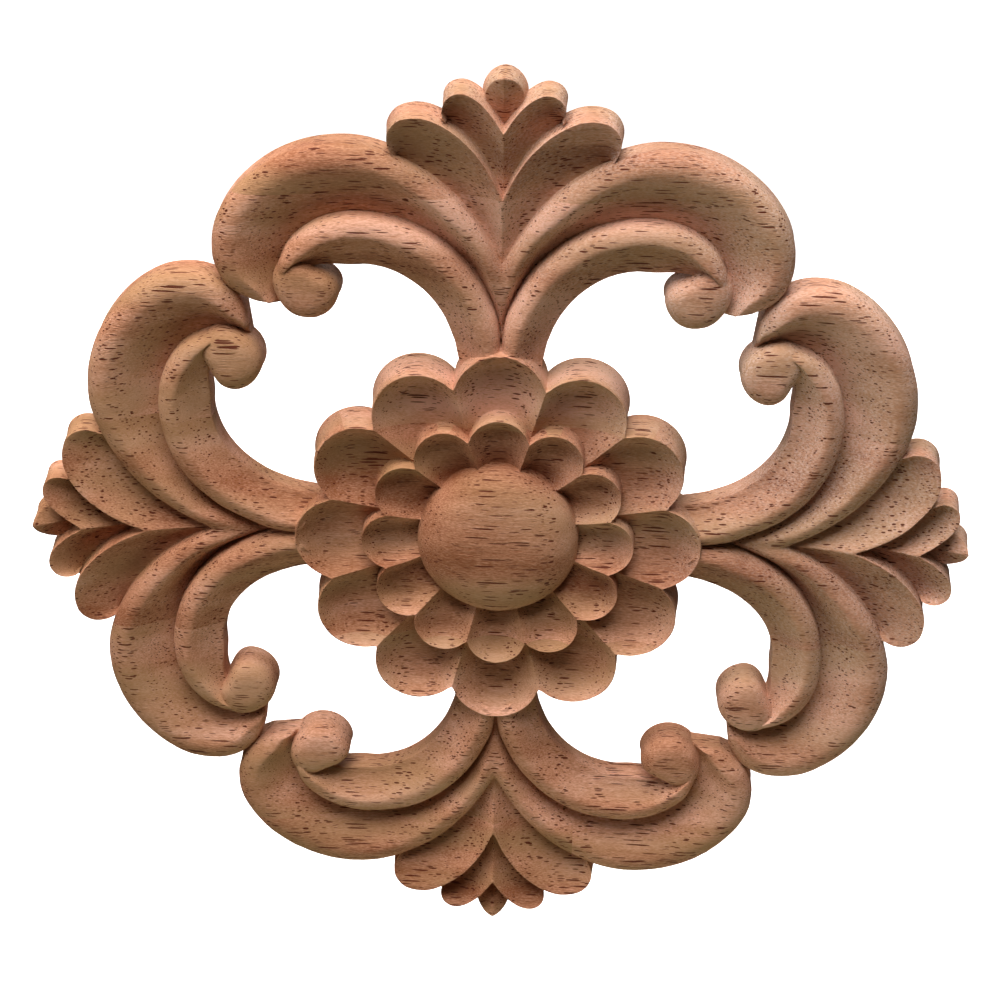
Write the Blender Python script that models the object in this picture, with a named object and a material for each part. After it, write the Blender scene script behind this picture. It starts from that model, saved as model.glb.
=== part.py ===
# Carved wooden applique: a square openwork ornament with four equal arms, cut from one board.
#
# Every layer of the carving is worked out in the plan of one arm. "a" is the distance outward
# along the arm's middle line, "b" the distance to its side and "w" the height above the flat
# back. The solids of an arm are turned to the four sides, joined into one piece and cut flat
# at the back. The piece stands upright: X to the right, Z up, and the front faces -Y.

import math

import bmesh
import bpy
import numpy as np

MM = 0.001

# Overall size of the piece, in millimetres
HALF_SPAN = 100.0                 # centre to the foot of each tip leaf
BACK_DEPTHS = {                   # how far each solid runs on below the back plane
    "outer_petals": 2.0, "inner_petals": 1.9, "dome": 1.8, "outer_scrolls": 1.7,
    "inner_scroll": 1.6, "knob": 1.5, "large_lobes": 1.4, "small_lobes": 1.3, "tip_leaf": 1.2}

# Rosette
PETAL_COUNT = 12
OUTER_TIP_RADIUS = 42.9           # rim of an outer petal at its middle
OUTER_NOTCH_RADIUS = 36.3         # rim where two outer petals meet
OUTER_RIM_HEIGHT = 9.9
OUTER_SCOOP_HEIGHT = 4.4          # deepest point of an outer scoop
OUTER_ARRIS_RISE = 2.0            # how much the edge between two scoops stands above them
OUTER_FLARE = 1.2                 # how much wider the foot of the wall is than the rim
INNER_TIP_RADIUS = 28.8
INNER_NOTCH_RADIUS = 24.3
INNER_RIM_HEIGHT = 10.2
INNER_SCOOP_HEIGHT = 4.7
INNER_ARRIS_RISE = 1.6
INNER_FLARE = 0.8
SCOOP_POWER = 1.8                 # 1 is a straight slope, more is a deeper hollow
SCOOP_END = 0.91                  # where a scoop ends, as a share of the next ring's radius
DOME_RADIUS = 17.1
DOME_SIDE_HEIGHT = 7.2            # top of the dome's upright side
DOME_TOP_HEIGHT = 12.8
DOME_ROUNDING = 1.3

# Outer scroll: a rounded roll along its outline, then a cove down to the inner scroll
SCROLL_OUTLINE = (
    (61.1, 0.0), (66.0, 2.7), (72.0, 6.9), (77.0, 11.8), (81.0, 17.6), (84.0, 24.2),
    (85.2, 31.0), (84.2, 39.0), (81.0, 46.4), (75.5, 52.9), (69.0, 57.0), (62.5, 58.2),
    (57.2, 57.2), (51.4, 53.2))
SCROLL_EDGE_HEIGHT = 5.2
SCROLL_CREST_HEIGHT = 8.2
SCROLL_VALLEY_HEIGHT = 3.6
SCROLL_ROLL_WIDTH = 4.0

# Inner scroll: a rounded ridge on its outer side, then a cove down to the edge of the opening
RIDGE_OUTLINE = (
    (42.3, 0.9), (44.0, 1.1), (50.0, 2.4), (55.0, 4.7), (60.0, 8.1), (65.0, 13.1), (69.0, 19.6),
    (70.7, 28.0), (69.4, 35.8), (65.4, 41.9), (60.0, 44.9), (55.5, 45.2), (51.0, 43.4))
OPENING_EDGE = (
    (37.2, 8.2), (41.5, 8.9), (45.0, 9.8), (50.0, 12.0), (54.8, 15.8), (58.2, 20.6), (59.9, 26.0),
    (59.9, 30.5), (60.1, 35.5), (58.9, 40.3), (56.2, 42.9), (53.4, 43.4), (50.8, 42.6))
RIDGE_EDGE_HEIGHT = 6.2
RIDGE_CREST_HEIGHT = 9.0
RIDGE_ROLL_WIDTH = 2.4
OPENING_EDGE_HEIGHT = 5.0
MERGE_START = 0.84                # share of the scroll's length where the cove fills up again

# Volute knob at the end of the inner scroll
KNOB_CENTRE = (55.1, 38.9)
KNOB_RADIUS = 6.25
KNOB_RECESS = 1.5                 # how far its side stands back from the ridge around it
KNOB_RECESS_ANGLE = 60.0
KNOB_EDGE_HEIGHT = 5.6
KNOB_TOP_HEIGHT = 9.0

# Lobes: a raised crisp rim, hollow down to the next inner layer
LARGE_RIM = (
    (75.0, 0.0), (79.6, 2.1), (84.4, 5.2), (88.3, 9.2), (90.8, 13.6), (91.3, 17.6), (90.0, 21.1),
    (87.0, 22.6), (83.0, 22.7))
LARGE_RIM_HEIGHTS = (8.7, 9.4, 8.6)         # at the middle line, on top and at the scroll
LARGE_FOOT_HEIGHT = 4.4
LARGE_FOOT_END = 0.33             # share of the scroll's outline that the large lobe meets
SMALL_RIM = (
    (88.5, 0.0), (91.7, 2.1), (94.6, 4.8), (96.1, 7.8), (95.6, 10.3), (93.7, 11.7), (90.5, 11.9))
SMALL_RIM_HEIGHTS = (9.0, 8.5, 7.9)
SMALL_FOOT_HEIGHT = 4.0
SMALL_FOOT_END = 0.58             # share of the large lobe's rim that the small lobe meets
LOBE_FLARE = 0.9
LOBE_POWER = 1.35
TIP_OUTLINE = ((86.5, 1.2), (90.0, 2.3), (93.0, 3.5), (95.6, 3.9), (97.6, 3.1), (98.9, 1.7))
TIP_RIDGE_START = 84.0
TIP_RIM_HEIGHT = 7.4
TIP_RIDGE_RISE = 0.9
TIP_FOOT_HEIGHT = 4.2
UNDER_LAP = 2.0                   # how far a layer runs on below the next inner one

# Facets
CURVE_STEPS = 24                  # steps of a smooth curve between two of its points
PETAL_STEPS = 6
RING_STEPS = 3
DOME_STEPS = 4
SCROLL_STEPS = 15
RIDGE_STEPS = 16
ROLL_STEPS = 2
COVE_STEPS = 3
LOBE_STEPS = 7
LOBE_ROWS = 2
TIP_STEPS = 4
KNOB_STEPS = 12
KNOB_ROWS = 2

WOOD_COLOUR = (0.46, 0.25, 0.15, 1.0)
WOOD_ROUGHNESS = 0.62
SHARP_ANGLE = math.radians(32)


def clear_scene():
    for item in list(bpy.data.objects):
        bpy.data.objects.remove(item, do_unlink=True)


def new_collection(name):
    collection = bpy.data.collections.new(name)
    bpy.context.scene.collection.children.link(collection)
    return collection


def wood_material():
    material = bpy.data.materials.new("pale_carved_wood")
    material.use_nodes = True
    shader = material.node_tree.nodes["Principled BSDF"]
    shader.inputs["Base Color"].default_value = WOOD_COLOUR
    shader.inputs["Roughness"].default_value = WOOD_ROUGHNESS
    shader.inputs["Metallic"].default_value = 0.0
    return material


def smooth_curve(points, count):
    """Points at equal steps along a Catmull-Rom curve through the given points."""
    knots = np.array(points, dtype=float)
    padded = np.vstack([2 * knots[0] - knots[1], knots, 2 * knots[-1] - knots[-2]])
    share = np.linspace(0.0, 1.0, CURVE_STEPS, endpoint=False)[:, None]
    pieces = []
    for index in range(len(knots) - 1):
        before, start, end, after = padded[index:index + 4]
        pieces.append(0.5 * (
            2 * start + (end - before) * share
            + (2 * before - 5 * start + 4 * end - after) * share ** 2
            + (3 * start - before - 3 * end + after) * share ** 3))
    dense = np.vstack(pieces + [knots[-1:]])
    run = np.concatenate([[0.0], np.cumsum(np.linalg.norm(np.diff(dense, axis=0), axis=1))])
    wanted = np.linspace(0.0, run[-1], count)
    return np.column_stack([np.interp(wanted, run, dense[:, axis]) for axis in range(2)])


def blend_three(values, share):
    """Smooth change from the first value over the middle one to the last."""
    first, middle, last = values
    return np.where(
        share < 0.5,
        first + (middle - first) * np.sin(np.pi * share),
        last + (middle - last) * np.sin(np.pi * share))


def roll_and_cove(outer, inner, edge, crest, ends, roll_width):
    """Plan points and heights across a moulding, from its outer line to its inner one.

    The height rises from edge to crest over a quarter round and falls to the end height
    along a cosine. The quarter round keeps its width square to the outer line.
    """
    across = inner - outer
    length = np.linalg.norm(across, axis=1)
    tangent = np.gradient(outer, axis=0)
    tangent /= np.linalg.norm(tangent, axis=1)[:, None]
    unit = across / length[:, None]
    square = np.abs(unit[:, 0] * tangent[:, 1] - unit[:, 1] * tangent[:, 0])
    roll = np.minimum(roll_width / np.maximum(square, 0.2), 0.55 * length)
    turn = np.linspace(0.0, math.pi / 2, ROLL_STEPS + 1)
    fall = np.linspace(0.0, 1.0, COVE_STEPS + 1)[1:]
    distance = np.hstack([
        roll[:, None] * (1 - np.cos(turn)),
        roll[:, None] + (length - roll)[:, None] * fall])
    height = np.hstack([
        np.repeat(edge + (crest - edge) * np.sin(turn)[None, :], len(outer), axis=0),
        ends[:, None] + (crest - ends)[:, None] * (0.5 + 0.5 * np.cos(np.pi * fall))])
    plan = outer[:, None, :] + unit[:, None, :] * distance[..., None]
    return plan, height


def add_under_lap(plan, height):
    """Carry each row on at its last height, below the next layer."""
    last = plan[:, -1] - plan[:, 0]
    last /= np.linalg.norm(last, axis=1)[:, None]
    hidden = plan[:, -1] + last * UNDER_LAP
    plan = np.concatenate([plan, hidden[:, None, :]], axis=1)
    height = np.concatenate([height, height[:, -1:]], axis=1)
    return plan, height


def mirror_rows(plan, height):
    """Both halves of a pair, joined on the middle line of the arm."""
    other = plan[::-1].copy()
    other[..., 1] *= -1
    return np.concatenate([other[:-1], plan]), np.concatenate([height[::-1][:-1], height])


def grid_solid(name, plan, height, depth, flare=0.0, ring=False):
    """Closed solid under a grid of plan points and heights, down to a depth below the back.

    Each row of the grid starts at the outer wall, and flare widens the foot of that wall.
    A ring's rows close on each other and end in one point.
    """
    rows, columns = height.shape
    foot = plan.copy()
    if flare:
        outward = plan[:, 0] - plan[:, 1]
        outward /= np.linalg.norm(outward, axis=1)[:, None]
        foot[:, 0] += outward * flare
    top = np.dstack([plan[..., 1], -height, plan[..., 0]])
    bottom = np.dstack([foot[..., 1], np.full(height.shape, depth), foot[..., 0]])
    points = np.concatenate([top.reshape(-1, 3), bottom.reshape(-1, 3)]) * MM
    below = rows * columns

    def at(row, column):
        return (row % rows) * columns + column

    faces = []
    for row in range(rows if ring else rows - 1):
        for column in range(columns - 1):
            corners = (at(row, column), at(row + 1, column),
                       at(row + 1, column + 1), at(row, column + 1))
            faces.append(corners)
            faces.append(tuple(corner + below for corner in reversed(corners)))
        for column in (0,) if ring else (0, columns - 1):
            faces.append((at(row, column), at(row + 1, column),
                          at(row + 1, column) + below, at(row, column) + below))
    if not ring:
        for row in (0, rows - 1):
            for column in range(columns - 1):
                faces.append((at(row, column), at(row, column + 1),
                              at(row, column + 1) + below, at(row, column) + below))
    mesh = bpy.data.meshes.new(name)
    mesh.from_pydata(points.tolist(), [], faces)
    return tidy_solid(name, mesh)


def tidy_solid(name, mesh):
    """Merge the doubled points of a pole and turn every face outward."""
    work = bmesh.new()
    work.from_mesh(mesh)
    bmesh.ops.remove_doubles(work, verts=work.verts, dist=0.002 * MM)
    bmesh.ops.triangulate(work, faces=work.faces)
    bmesh.ops.recalc_face_normals(work, faces=work.faces)
    work.to_mesh(mesh)
    work.free()
    return bpy.data.objects.new(name, mesh)


def scalloped_rim(angle, tip_radius, notch_radius):
    """Radius of a ring of round petals: each rim is an arc through its tip and both notches."""
    half = math.pi / PETAL_COUNT
    off = np.abs((angle + half) % (2 * half) - half)
    chord = notch_radius * math.sin(half)
    rise = tip_radius - notch_radius * math.cos(half)
    arc = (chord ** 2 + rise ** 2) / (2 * rise)
    centre = tip_radius - arc
    return centre * np.cos(off) + np.sqrt(arc ** 2 - (centre * np.sin(off)) ** 2), off / half


def petal_ring(name, tip, notch, rim_height, scoop_height, arris_rise, flare):
    """A ring of cupped petals, from the scalloped rim to the middle of the rosette."""
    angle = np.arange(PETAL_COUNT * PETAL_STEPS) * 2 * math.pi / (PETAL_COUNT * PETAL_STEPS)
    rim, side = scalloped_rim(angle, tip, notch)
    inner = SCOOP_END * (DOME_RADIUS if name == "inner_petals" else INNER_NOTCH_RADIUS)
    fall = np.linspace(1.0, 0.0, RING_STEPS + 1)
    radius = inner + (rim - inner)[:, None] * fall
    low = scoop_height + arris_rise * side ** 2
    height = low[:, None] + (rim_height - low)[:, None] * fall ** SCOOP_POWER
    radius = np.hstack([radius, np.zeros((len(angle), 1))])
    height = np.hstack([height, np.full((len(angle), 1), scoop_height)])
    plan = np.dstack([radius * np.cos(angle)[:, None], radius * np.sin(angle)[:, None]])
    return grid_solid(name, plan, height, BACK_DEPTHS[name], flare, ring=True)


def dome():
    """Shallow round boss: a cap of a sphere with a rounded edge on an upright side."""
    count = PETAL_COUNT * PETAL_STEPS // 2
    angle = np.arange(count) * 2 * math.pi / count
    cap_radius = DOME_RADIUS - DOME_ROUNDING
    rise = DOME_TOP_HEIGHT - DOME_SIDE_HEIGHT - DOME_ROUNDING
    sphere = (cap_radius ** 2 + rise ** 2) / (2 * rise)
    cap = cap_radius * np.linspace(1.0, 0.0, DOME_STEPS + 1)
    radius = np.concatenate([[DOME_RADIUS], cap])
    height = np.concatenate([[DOME_SIDE_HEIGHT],
                             DOME_TOP_HEIGHT - sphere + np.sqrt(sphere ** 2 - cap ** 2)])
    plan = np.dstack([np.cos(angle)[:, None] * radius, np.sin(angle)[:, None] * radius])
    height = np.repeat(height[None, :], count, axis=0)
    return grid_solid("dome", plan, height, BACK_DEPTHS["dome"], ring=True)


def outer_scrolls():
    outline = smooth_curve(SCROLL_OUTLINE, SCROLL_STEPS + 1)
    inner = smooth_curve(RIDGE_OUTLINE[1:], SCROLL_STEPS + 1)
    inner[0, 1] = 0.0
    ends = np.full(len(outline), SCROLL_VALLEY_HEIGHT)
    plan, height = roll_and_cove(
        outline, inner, SCROLL_EDGE_HEIGHT, SCROLL_CREST_HEIGHT, ends, SCROLL_ROLL_WIDTH)
    plan, height = mirror_rows(*add_under_lap(plan, height))
    return grid_solid("outer_scrolls", plan, height, BACK_DEPTHS["outer_scrolls"])


def inner_scroll(side):
    outline = smooth_curve(RIDGE_OUTLINE, RIDGE_STEPS + 1)
    inner = smooth_curve(OPENING_EDGE, RIDGE_STEPS + 1)
    share = np.linspace(0.0, 1.0, RIDGE_STEPS + 1)
    merge = np.clip((share - MERGE_START) / (1 - MERGE_START), 0.0, 1.0)
    ends = OPENING_EDGE_HEIGHT + (RIDGE_CREST_HEIGHT - OPENING_EDGE_HEIGHT) * merge ** 2
    plan, height = roll_and_cove(
        outline, inner, RIDGE_EDGE_HEIGHT, RIDGE_CREST_HEIGHT, ends, RIDGE_ROLL_WIDTH)
    plan[..., 1] *= side
    return grid_solid("inner_scroll", plan, height, BACK_DEPTHS["inner_scroll"])


def knob(side):
    """Flat-topped button, set back from the ridge that winds around it."""
    angle = np.arange(KNOB_STEPS) * 2 * math.pi / KNOB_STEPS
    off = (angle - math.radians(KNOB_RECESS_ANGLE) + math.pi) % (2 * math.pi) - math.pi
    radius = KNOB_RADIUS - KNOB_RECESS * np.maximum(np.cos(0.75 * off), 0.0) ** 2
    share = np.sin(np.linspace(math.pi / 2, 0.0, KNOB_ROWS + 1))
    rise = KNOB_TOP_HEIGHT - KNOB_EDGE_HEIGHT
    height = KNOB_EDGE_HEIGHT + rise * np.sqrt(1 - share ** 4)
    plan = np.dstack([
        KNOB_CENTRE[0] + (radius * np.sin(angle))[:, None] * share,
        side * (KNOB_CENTRE[1] + (radius * np.cos(angle))[:, None] * share)])
    height = np.repeat(height[None, :], KNOB_STEPS, axis=0)
    return grid_solid("knob", plan, height, BACK_DEPTHS["knob"], ring=True)


def lobe_pair(name, rim_points, rim_heights, next_line, foot_height):
    """Two lobes that meet on the middle line, hollow from their rim to the next layer."""
    rim = smooth_curve(rim_points, LOBE_STEPS + 1)
    foot = smooth_curve(next_line, LOBE_STEPS + 1)
    share = np.linspace(0.0, 1.0, LOBE_STEPS + 1)
    fall = np.linspace(0.0, 1.0, LOBE_ROWS + 1)
    plan = rim[:, None, :] + (foot - rim)[:, None, :] * fall[None, :, None]
    top = blend_three(rim_heights, share)
    height = foot_height + (top - foot_height)[:, None] * (1 - fall) ** LOBE_POWER
    plan, height = mirror_rows(*add_under_lap(plan, height))
    return grid_solid(name, plan, height, BACK_DEPTHS[name], flare=LOBE_FLARE)


def tip_leaf():
    """Pointed leaf with a ridge along its middle, falling to the small lobes."""
    side = smooth_curve(TIP_OUTLINE, TIP_STEPS + 1)
    side = np.vstack([side, [HALF_SPAN, 0.25]])
    ridge = np.linspace(TIP_RIDGE_START, side[-1, 0] - 0.02, len(side))
    share = np.linspace(-1.0, 1.0, 2 * LOBE_ROWS + 1)
    along = (side[:, 0] - side[0, 0]) / (side[-1, 0] - side[0, 0])
    level = TIP_FOOT_HEIGHT + (TIP_RIM_HEIGHT - TIP_FOOT_HEIGHT) * along
    plan = np.dstack([
        ridge[:, None] + (side[:, 0] - ridge)[:, None] * np.abs(share),
        side[:, 1][:, None] * share])
    height = level[:, None] + TIP_RIDGE_RISE * (1 - np.abs(share))
    return grid_solid("tip_leaf", plan, height, BACK_DEPTHS["tip_leaf"])


def first_part(points, share):
    """The first part of a curve, up to a share of its length, in as many points."""
    count = len(points) * CURVE_STEPS
    return smooth_curve(points, count)[:round(share * count)]


def arm_solids():
    solids = [outer_scrolls(), tip_leaf()]
    for side in (1, -1):
        solids.append(inner_scroll(side))
        solids.append(knob(side))
    solids.append(lobe_pair("large_lobes", LARGE_RIM, LARGE_RIM_HEIGHTS,
                            first_part(SCROLL_OUTLINE, LARGE_FOOT_END), LARGE_FOOT_HEIGHT))
    solids.append(lobe_pair("small_lobes", SMALL_RIM, SMALL_RIM_HEIGHTS,
                            first_part(LARGE_RIM, SMALL_FOOT_END), SMALL_FOOT_HEIGHT))
    return solids


def turned_copies(solid):
    """The solid at all four sides of the piece, turned in the plane of the back."""
    copies = []
    for quarter in range(4):
        angle = quarter * math.pi / 2
        mesh = solid.data.copy()
        points = np.empty(len(mesh.vertices) * 3, dtype=np.float32)
        mesh.vertices.foreach_get("co", points)
        points = points.reshape(-1, 3).astype(float)
        turned = points.copy()
        turned[:, 0] = points[:, 0] * math.cos(angle) - points[:, 2] * math.sin(angle)
        turned[:, 2] = points[:, 0] * math.sin(angle) + points[:, 2] * math.cos(angle)
        mesh.vertices.foreach_set("co", turned.astype(np.float32).ravel())
        copies.append(bpy.data.objects.new(f"{solid.name}_{quarter}", mesh))
    return copies


def as_cutter(item, collection):
    collection.objects.link(item)
    item.hide_render = True
    item.display_type = "WIRE"


def back_trim(collection):
    """Box behind the back plane that takes the spare wood away."""
    width = 3 * HALF_SPAN * MM
    depth = 2 * max(BACK_DEPTHS.values()) * MM
    bpy.ops.mesh.primitive_cube_add(size=1.0, location=(0, depth / 2, 0), scale=(width, depth, width))
    box = bpy.context.object
    box.name = "back_trim"
    for owner in list(box.users_collection):
        owner.objects.unlink(box)
    as_cutter(box, collection)
    return box


def build():
    clear_scene()
    piece_collection = new_collection("carved_wooden_applique")
    cutters = new_collection("carving_solids")

    ring = petal_ring("outer_petals", OUTER_TIP_RADIUS, OUTER_NOTCH_RADIUS, OUTER_RIM_HEIGHT,
                      OUTER_SCOOP_HEIGHT, OUTER_ARRIS_RISE, OUTER_FLARE)
    solids = [petal_ring("inner_petals", INNER_TIP_RADIUS, INNER_NOTCH_RADIUS,
                         INNER_RIM_HEIGHT, INNER_SCOOP_HEIGHT, INNER_ARRIS_RISE, INNER_FLARE),
              dome()]
    for solid in arm_solids():
        solids.extend(turned_copies(solid))
    joined = new_collection("joined_solids")
    for solid in solids:
        as_cutter(solid, joined)

    piece = bpy.data.objects.new("carved_applique", ring.data)
    piece_collection.objects.link(piece)
    union = piece.modifiers.new("join_carving", "BOOLEAN")
    union.operation = "UNION"
    union.operand_type = "COLLECTION"
    union.collection = joined
    union.solver = "MANIFOLD"
    trim = piece.modifiers.new("flat_back", "BOOLEAN")
    trim.operation = "DIFFERENCE"
    trim.object = back_trim(cutters)
    trim.solver = "MANIFOLD"

    bpy.context.view_layer.update()
    evaluated = piece.evaluated_get(bpy.context.evaluated_depsgraph_get())
    carved = bpy.data.meshes.new_from_object(evaluated)
    piece.modifiers.clear()
    piece.data = carved
    carved.shade_smooth()
    carved.set_sharp_from_angle(angle=SHARP_ANGLE)
    carved.materials.clear()
    carved.materials.append(wood_material())
    for solid in solids:
        bpy.data.objects.remove(solid, do_unlink=True)
    bpy.data.collections.remove(joined)
    print("carved piece:", len(carved.polygons), "faces")


build()
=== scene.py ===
# Square openwork applique carved from one board of rubberwood, standing upright as it would
# hang on a door or a wall. The CAD solid carries the plain facets; this script carves the same
# layers finely, gives them the bare wood and lights them like a catalogue picture.
import functools
import math
import bmesh
import bpy
import numpy as np
from mathutils import Matrix, Vector


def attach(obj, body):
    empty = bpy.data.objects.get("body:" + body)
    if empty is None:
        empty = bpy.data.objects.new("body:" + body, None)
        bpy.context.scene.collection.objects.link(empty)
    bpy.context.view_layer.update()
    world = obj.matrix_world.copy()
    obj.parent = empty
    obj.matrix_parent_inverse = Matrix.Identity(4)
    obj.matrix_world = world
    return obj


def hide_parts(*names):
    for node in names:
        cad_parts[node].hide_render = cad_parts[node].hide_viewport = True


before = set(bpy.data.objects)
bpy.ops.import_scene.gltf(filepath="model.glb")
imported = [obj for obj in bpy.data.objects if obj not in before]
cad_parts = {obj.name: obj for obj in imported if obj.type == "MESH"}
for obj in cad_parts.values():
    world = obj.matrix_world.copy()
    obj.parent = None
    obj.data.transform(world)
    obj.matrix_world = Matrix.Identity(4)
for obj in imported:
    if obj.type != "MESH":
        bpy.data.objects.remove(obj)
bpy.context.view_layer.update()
mm = 0.001


# Camera
# The view of the photograph: from above the middle of the piece, looking down on it.
cameraLook = {
    "distance": 439.3 * mm,
    "tiltDown": 26.72,            # degrees above the normal of the piece
    "turn": 1.89,                 # degrees, to the side
    "roll": 1.82,                 # degrees, round the line of sight
    "offset": (-0.16 * mm, 5.2 * mm),    # right and down, from the line of sight to the origin
    "lens": 73.7,
}


def addCamera(look):
    # turns for tilt, then turn, then roll, in the picture's axes: right, down, away
    pictureAxes = Matrix(((1, 0, 0), (0, 0, -1), (0, 1, 0)))
    turned = (Matrix.Rotation(math.radians(look["roll"]), 3, "Z")
              @ Matrix.Rotation(math.radians(look["turn"]), 3, "Y")
              @ Matrix.Rotation(math.radians(look["tiltDown"]), 3, "X") @ pictureAxes)
    place = -(turned.transposed() @ Vector((*look["offset"], look["distance"])))
    flip = Matrix(((1, 0, 0), (0, -1, 0), (0, 0, -1)))
    data = bpy.data.cameras.new("productCamera")
    data.sensor_width = 36.0
    data.lens = look["lens"]
    camera = bpy.data.objects.new("productCamera", data)
    camera.matrix_world = Matrix.LocRotScale(place, (turned.transposed() @ flip).to_quaternion(), None)
    bpy.context.scene.collection.objects.link(camera)
    bpy.context.scene.camera = camera


# Carving: shared shapes
# a runs outward along an arm, b to its side, w is the height above the flat back; all in mm.

def smoothCurve(points, spacing=None, count=None):
    # Catmull-Rom through the points: p(t) is a cubic between p1 and p2 whose slopes are
    # (p2 - p0) / 2 and (p3 - p1) / 2; the result has equal steps of arc length
    knots = np.array(points, dtype=float)
    padded = np.vstack([2 * knots[0] - knots[1], knots, 2 * knots[-1] - knots[-2]])
    stepsPerSpan = 32
    t = np.linspace(0.0, 1.0, stepsPerSpan, endpoint=False)[None, :, None]
    p0, p1, p2, p3 = (padded[i:len(knots) - 1 + i, None, :] for i in range(4))
    dense = 0.5 * (2 * p1 + (p2 - p0) * t + (2 * p0 - 5 * p1 + 4 * p2 - p3) * t ** 2
                   + (3 * p1 - p0 - 3 * p2 + p3) * t ** 3)
    dense = np.vstack([dense.reshape(-1, knots.shape[1]), knots[-1:]])
    run = np.concatenate([[0.0], np.cumsum(np.linalg.norm(np.diff(dense, axis=0), axis=1))])
    count = count or max(int(round(run[-1] / spacing)) + 1, 4)
    wanted = np.linspace(0.0, run[-1], count)
    return np.column_stack([np.interp(wanted, run, dense[:, k]) for k in range(knots.shape[1])])


def firstPart(points, share, count):
    # the first part of a smooth curve, up to a share of its length, through every sixth of 600 points
    fine, every = 600, 6
    dense = smoothCurve(points, count=fine)
    return smoothCurve(dense[:int(share * fine):every], count=count)


def withWall(plan, height, depth, flare, steps):
    # adds the outer wall in front of each row: its foot is flare outside the rim and depth below
    # the back, and on its way up it stands flare * (1 - up) ** 1.5 outside the rim
    outward = plan[:, 0] - plan[:, 1]
    outward = outward / np.maximum(np.linalg.norm(outward, axis=1), 1e-9)[:, None]
    up = np.linspace(0.0, 1.0, steps, endpoint=False)
    wallPlan = plan[:, :1] + outward[:, None, :] * (flare * (1 - up) ** 1.5)[None, :, None]
    wallHeight = -depth + (height[:, :1] + depth) * up[None, :]
    return np.concatenate([wallPlan, plan], axis=1), np.concatenate([wallHeight, height], axis=1)


def mirrored(plan, height):
    # both halves of a pair, joined on the arm's middle line
    other = plan[::-1].copy()
    other[..., 1] *= -1
    return np.concatenate([other[:-1], plan]), np.concatenate([height[::-1][:-1], height])


def gridSolid(name, plan, height, depth, ring=False):
    # closed solid between the grid of heights, at (b, -w, a), and a flat bottom at w = -depth; a
    # ring's rows close on each other and meet in one point
    rows, columns = height.shape
    top = np.dstack([plan[..., 1], -height, plan[..., 0]]).reshape(-1, 3)
    bottom = np.dstack([plan[..., 1], np.full(height.shape, depth), plan[..., 0]]).reshape(-1, 3)
    index = np.arange(rows * columns).reshape(rows, columns)
    if ring:
        index = np.vstack([index, index[:1]])
    corners = (index[:-1, :-1], index[1:, :-1], index[1:, 1:], index[:-1, 1:])
    quads = np.stack(corners, axis=-1).reshape(-1, 4)
    below = rows * columns
    rims = [(index[:-1, 0], index[1:, 0])]
    if not ring:
        rims += [(index[1:, -1], index[:-1, -1]), (index[0, 1:], index[0, :-1]),
                 (index[-1, :-1], index[-1, 1:])]
    sides = [np.stack([a + below, b + below, b, a], axis=-1) for a, b in rims]
    faces = np.vstack([quads, quads[:, ::-1] + below, *sides])
    mesh = bpy.data.meshes.new(name)
    mesh.from_pydata((np.vstack([top, bottom]) * mm).tolist(), [], faces.tolist())
    work = bmesh.new()
    work.from_mesh(mesh)
    bmesh.ops.remove_doubles(work, verts=work.verts, dist=0.0005 * mm)
    bmesh.ops.triangulate(work, faces=work.faces)
    bmesh.ops.recalc_face_normals(work, faces=work.faces)
    work.to_mesh(mesh)
    work.free()
    return bpy.data.objects.new(name, mesh)


def easeDown(share, reach):
    # 1 at the start, falling to 0 at reach along half a cosine
    return 0.5 + 0.5 * np.cos(np.pi * np.clip(share / reach, 0.0, 1.0))


# Carving: rosette

petalRings = {
    "outerPetals": {"tip": 42.9, "notch": 36.3, "rim": 9.9, "floor": (3.9, 5.5), "flare": 1.2,
                    "end": 22.0, "depth": 2.0},
    "innerPetals": {"tip": 28.8, "notch": 24.3, "rim": 10.2, "floor": (4.2, 6.6), "flare": 0.8,
                    "end": 15.4, "depth": 1.9},
    "count": 12,
    "stepsPerPetal": 32,
    "stepsAcross": 26,
    "crowding": 1.3,              # rows lie closer together towards the rim
    "wallSteps": 7,
    "hollow": 2.8,                # 1 is a cone, more is a rounder bowl
    "sink": 1.3,                  # the floor falls to its inner height as inward ** sink
    "arris": 0.82,                # share that the ridge between two petals has at its inner end
    "lip": 0.25,                  # rounded width of the rim
}


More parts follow.
